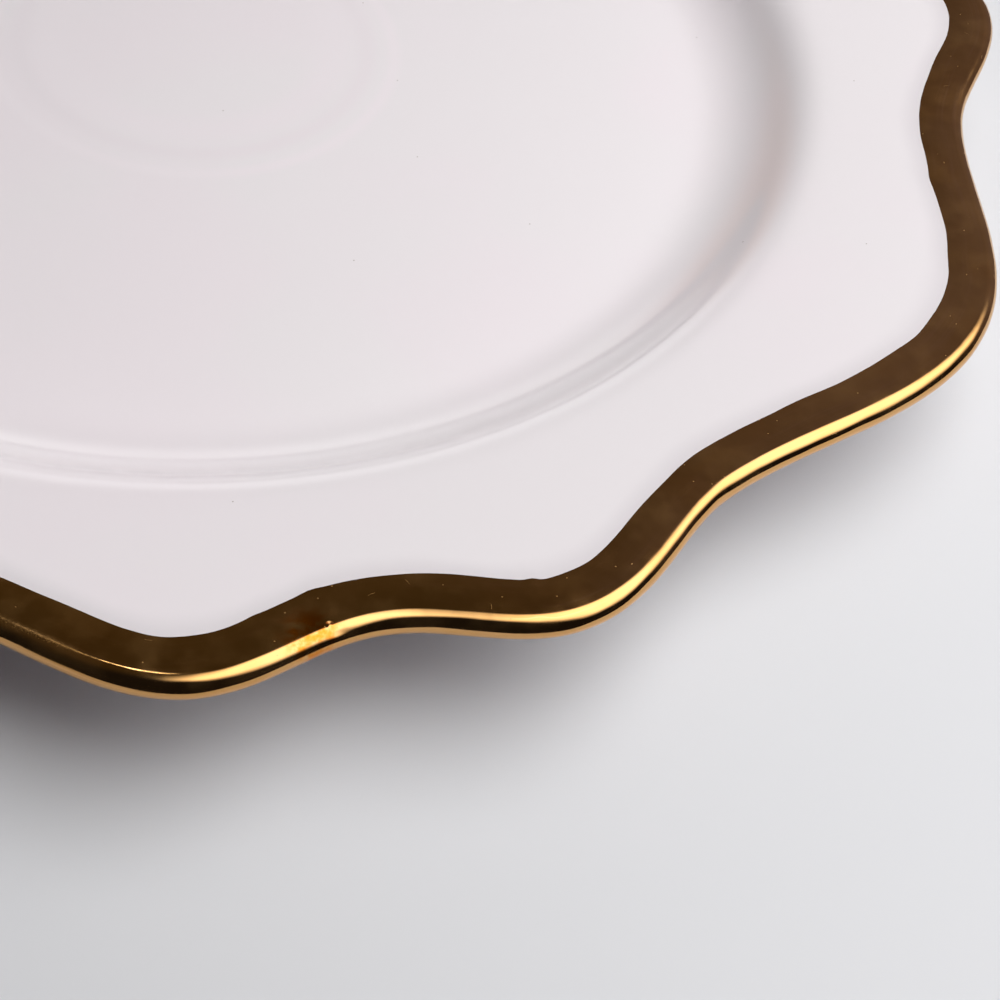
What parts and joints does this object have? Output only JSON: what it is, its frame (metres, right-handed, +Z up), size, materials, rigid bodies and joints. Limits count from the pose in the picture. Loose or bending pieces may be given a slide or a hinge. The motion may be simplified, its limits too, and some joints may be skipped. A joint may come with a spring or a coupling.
{
  "type": "serving platter",
  "caption": "Round glazed porcelain serving platter with a flat well, a broad scalloped rim, a gold-painted edge and a bare foot ring.",
  "frame": {"origin": "on the table, under the middle of the well", "axes": "+Z up, square to the well; a pair of narrow rim lobes faces -Y"},
  "size_m": [0.2978, 0.2978, 0.0242],
  "materials": {
    "porcelain": "bare fired porcelain, fine and matt",
    "glaze": "clear gloss glaze over faintly pinkish white porcelain",
    "gold": "burnished painted gold with fine wear"
  },
  "bodies": {
    "root": {"porcelain_body": "porcelain", "front_glaze": "glaze", "back_glaze": "glaze", "base_glaze": "glaze", "centre_glaze": "glaze", "gold_band": "gold"}
  },
  "joints": []
}
